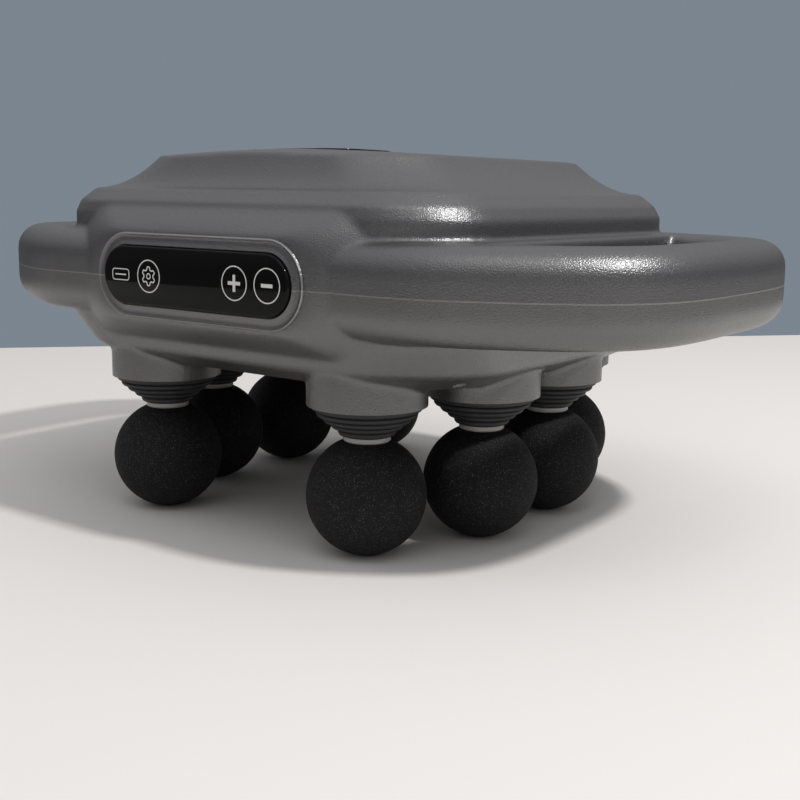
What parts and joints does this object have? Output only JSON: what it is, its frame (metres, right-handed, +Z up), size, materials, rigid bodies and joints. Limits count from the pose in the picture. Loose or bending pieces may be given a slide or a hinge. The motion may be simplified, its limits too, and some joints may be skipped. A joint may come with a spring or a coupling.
{
  "type": "percussion massager",
  "caption": "Cordless percussion massager: a two-shell body with loop handles, a touch display and ball heads on bellows that rocker levers drive up and down.",
  "frame": {"origin": "on the surface it stands on, under the middle of the body's overall box", "axes": "+Z up, -X out of the display, +Y along the line through both handles"},
  "size_m": [0.2424, 0.3722, 0.1666],
  "materials": {
    "upper_shell_plastic": "satin with a fine grain",
    "lower_shell_plastic": "satin with a fine grain",
    "top_plate_gloss": "polished",
    "lens_gloss": "polished",
    "display_board_laminate": "solder mask",
    "jack_plastic": "moulded",
    "frame_aluminium": "punched sheet",
    "motor_can_steel": "plated",
    "shaft_steel": "ground",
    "bearing_steel": "polished",
    "rocker_nylon": "moulded",
    "guide_moulding": "moulded",
    "ball_foam": "fine grain",
    "stem_plastic": "moulded",
    "boot_rubber": "matt",
    "control_board_laminate": "solder mask",
    "battery_wrap": "shrunk film over metal cells",
    "clamp_steel": "bent strip"
  },
  "bodies": {
    "housing": {"upper_housing": "upper_shell_plastic", "lower_housing": "lower_shell_plastic", "top_plate": "top_plate_gloss", "display_lens": "lens_gloss", "display_board": "display_board_laminate", "charge_jack": "jack_plastic", "motor_frame": "frame_aluminium", "control_board": "control_board_laminate", "battery_pack": "battery_wrap", "battery_clamp": "clamp_steel", "motor_1": "motor_can_steel", "motor_2": "motor_can_steel", "motor_3": "motor_can_steel", "motor_4": "motor_can_steel", "rocker_pin_1": "shaft_steel", "rocker_pin_2": "shaft_steel", "rocker_pin_3": "shaft_steel", "rocker_pin_4": "shaft_steel", "guide_block_1": "guide_moulding", "guide_block_2": "guide_moulding", "guide_block_3": "guide_moulding", "guide_block_4": "guide_moulding", "bellows_1": "boot_rubber", "bellows_2": "boot_rubber", "bellows_3": "boot_rubber", "bellows_4": "boot_rubber", "bellows_5": "boot_rubber", "bellows_6": "boot_rubber", "bellows_7": "boot_rubber", "bellows_8": "boot_rubber"},
    "rotor_1": {"rotor_1": "shaft_steel", "bearing_1": "bearing_steel"},
    "rocker_1": {"rocker_1": "rocker_nylon"},
    "head_1": {"stem_1": "stem_plastic", "ball_1": "ball_foam"},
    "head_2": {"stem_2": "stem_plastic", "ball_2": "ball_foam"},
    "rotor_2": {"rotor_2": "shaft_steel", "bearing_2": "bearing_steel"},
    "rocker_2": {"rocker_2": "rocker_nylon"},
    "head_3": {"stem_3": "stem_plastic", "ball_3": "ball_foam"},
    "head_4": {"stem_4": "stem_plastic", "ball_4": "ball_foam"},
    "rotor_3": {"rotor_3": "shaft_steel", "bearing_3": "bearing_steel"},
    "rocker_3": {"rocker_3": "rocker_nylon"},
    "head_5": {"stem_5": "stem_plastic", "ball_5": "ball_foam"},
    "head_6": {"stem_6": "stem_plastic", "ball_6": "ball_foam"},
    "rotor_4": {"rotor_4": "shaft_steel", "bearing_4": "bearing_steel"},
    "rocker_4": {"rocker_4": "rocker_nylon"},
    "head_7": {"stem_7": "stem_plastic", "ball_7": "ball_foam"},
    "head_8": {"stem_8": "stem_plastic", "ball_8": "ball_foam"}
  },
  "joints": [
    {"name": "rotor_1_spin", "type": "hinge", "parent": "housing", "child": "rotor_1", "pos_m": [-0.05455, -0.0711, 0.1063], "axis": [0, 0, 1], "continuous": true},
    {"name": "rocker_1_swing", "type": "hinge", "parent": "housing", "child": "rocker_1", "pos_m": [-0.05455, -0.0711, 0.0983], "axis": [-0.3963, -0.9181, 0], "range_deg": [-8, 8]},
    {"name": "head_1_stroke", "type": "slide", "parent": "housing", "child": "head_1", "axis": [0, 0, 1], "range_m": [-0.0039, 0.0039], "deforming": ["bellows_1"]},
    {"name": "head_2_stroke", "type": "slide", "parent": "housing", "child": "head_2", "axis": [0, 0, 1], "range_m": [-0.0039, 0.0039], "deforming": ["bellows_2"]},
    {"name": "rotor_2_spin", "type": "hinge", "parent": "housing", "child": "rotor_2", "pos_m": [-0.05455, 0.0711, 0.1063], "axis": [0, 0, 1], "continuous": true},
    {"name": "rocker_2_swing", "type": "hinge", "parent": "housing", "child": "rocker_2", "pos_m": [-0.05455, 0.0711, 0.0983], "axis": [0.3963, -0.9181, 0], "range_deg": [-8, 8]},
    {"name": "head_3_stroke", "type": "slide", "parent": "housing", "child": "head_3", "axis": [0, 0, 1], "range_m": [-0.0039, 0.0039], "deforming": ["bellows_3"]},
    {"name": "head_4_stroke", "type": "slide", "parent": "housing", "child": "head_4", "axis": [0, 0, 1], "range_m": [-0.0039, 0.0039], "deforming": ["bellows_4"]},
    {"name": "rotor_3_spin", "type": "hinge", "parent": "housing", "child": "rotor_3", "pos_m": [0.05455, 0.0711, 0.1063], "axis": [0, 0, 1], "continuous": true},
    {"name": "rocker_3_swing", "type": "hinge", "parent": "housing", "child": "rocker_3", "pos_m": [0.05455, 0.0711, 0.0983], "axis": [0.3963, 0.9181, 0], "range_deg": [-8, 8]},
    {"name": "head_5_stroke", "type": "slide", "parent": "housing", "child": "head_5", "axis": [0, 0, 1], "range_m": [-0.0039, 0.0039], "deforming": ["bellows_5"]},
    {"name": "head_6_stroke", "type": "slide", "parent": "housing", "child": "head_6", "axis": [0, 0, 1], "range_m": [-0.0039, 0.0039], "deforming": ["bellows_6"]},
    {"name": "rotor_4_spin", "type": "hinge", "parent": "housing", "child": "rotor_4", "pos_m": [0.05455, -0.0711, 0.1063], "axis": [0, 0, 1], "continuous": true},
    {"name": "rocker_4_swing", "type": "hinge", "parent": "housing", "child": "rocker_4", "pos_m": [0.05455, -0.0711, 0.0983], "axis": [-0.3963, 0.9181, 0], "range_deg": [-8, 8]},
    {"name": "head_7_stroke", "type": "slide", "parent": "housing", "child": "head_7", "axis": [0, 0, 1], "range_m": [-0.0039, 0.0039], "deforming": ["bellows_7"]},
    {"name": "head_8_stroke", "type": "slide", "parent": "housing", "child": "head_8", "axis": [0, 0, 1], "range_m": [-0.0039, 0.0039], "deforming": ["bellows_8"]}
  ],
  "couplings": [
    {"joint": "rocker_1_swing", "follows": "head_1_stroke", "rad_per_m": -35.381},
    {"joint": "head_2_stroke", "follows": "head_1_stroke", "ratio": -1},
    {"joint": "rocker_2_swing", "follows": "head_3_stroke", "rad_per_m": -35.381},
    {"joint": "head_4_stroke", "follows": "head_3_stroke", "ratio": -1},
    {"joint": "rocker_3_swing", "follows": "head_5_stroke", "rad_per_m": -35.381},
    {"joint": "head_6_stroke", "follows": "head_5_stroke", "ratio": -1},
    {"joint": "rocker_4_swing", "follows": "head_7_stroke", "rad_per_m": -35.381},
    {"joint": "head_8_stroke", "follows": "head_7_stroke", "ratio": -1}
  ]
}
